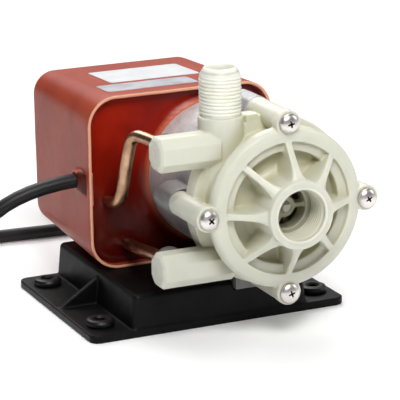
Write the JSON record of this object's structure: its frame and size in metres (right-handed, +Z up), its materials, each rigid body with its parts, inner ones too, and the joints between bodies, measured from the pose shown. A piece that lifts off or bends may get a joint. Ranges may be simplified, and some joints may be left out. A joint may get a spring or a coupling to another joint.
{
  "type": "magnetic drive pump",
  "caption": "Close-coupled magnetic drive pump: red potted motor on a black foot, white plastic pump head with front inlet, top outlet and copper cooling tube.",
  "frame": {"origin": "centre of the foot's four holes, on the plane it stands on", "axes": "X right seen from the inlet, +Y from the inlet to the motor's back, +Z up along the outlet"},
  "size_m": [0.235, 0.3747, 0.1391],
  "materials": {
    "red_shell": "satin, terracotta red",
    "red_epoxy": "cast glossy resin",
    "white_plastic": "natural moulded plastic, satin",
    "cast_alloy": "as cast, rough",
    "copper_tube": "drawn copper, lightly tarnished",
    "stainless": "polished stainless",
    "black_foot": "fine grained moulding",
    "black_rubber": "matt",
    "cord_rubber": "matt",
    "label_film": "plain film",
    "core_steel": "stacked sheet",
    "winding": "enamelled wire",
    "rotor_alloy": "cast and turned",
    "bearing_steel": "ground",
    "turned_steel": "turned",
    "magnet": "sintered ferrite",
    "ceramic": "ground ceramic",
    "carbon": "dense carbon",
    "plug_brass": "stamped"
  },
  "bodies": {
    "pump_body": {"mounting_foot": "black_foot", "foot_grommet_1": "black_rubber", "foot_grommet_2": "black_rubber", "foot_grommet_3": "black_rubber", "foot_grommet_4": "black_rubber", "motor_shell": "red_shell", "epoxy_potting": "red_epoxy", "cord_boss": "red_shell", "stator_laminations": "core_steel", "shading_rings": "winding", "stator_coil": "winding", "rear_bearing_cup": "cast_alloy", "motor_bracket": "cast_alloy", "front_bearing_outer_ring": "bearing_steel", "front_bearing_balls": "bearing_steel", "rear_bearing_outer_ring": "bearing_steel", "rear_bearing_balls": "bearing_steel", "rear_casing": "white_plastic", "rear_seal_ring": "black_rubber", "volute_casing": "white_plastic", "cover_seal_ring": "black_rubber", "front_cover": "white_plastic", "ceramic_spindle": "ceramic", "rear_thrust_washer": "ceramic", "front_thrust_washer": "ceramic", "cover_screws": "stainless", "cooling_tube": "copper_tube", "upper_port_seal": "black_rubber", "lower_port_seal": "black_rubber", "front_label": "label_film", "rear_label": "label_film", "power_cord": "cord_rubber", "cord_coil": "cord_rubber", "power_plug": "cord_rubber", "plug_pins": "plug_brass"},
    "motor_drive": {"motor_rotor": "rotor_alloy", "motor_shaft": "turned_steel", "front_bearing_inner_ring": "bearing_steel", "rear_bearing_inner_ring": "bearing_steel", "drive_cup": "turned_steel", "drive_magnet": "magnet", "cup_set_screw": "turned_steel"},
    "impeller_set": {"impeller": "white_plastic", "impeller_magnet": "magnet", "impeller_magnet_cap": "white_plastic", "impeller_bushing": "carbon"}
  },
  "joints": [
    {"name": "motor_spin", "type": "hinge", "parent": "pump_body", "child": "motor_drive", "pos_m": [0.0205, 0, 0.0685], "axis": [0, -1, 0], "continuous": true},
    {"name": "impeller_spin", "type": "hinge", "parent": "pump_body", "child": "impeller_set", "pos_m": [0.0205, -0.05, 0.0685], "axis": [0, -1, 0], "continuous": true}
  ],
  "couplings": [
    {"joint": "impeller_spin", "follows": "motor_spin", "ratio": 1}
  ]
}
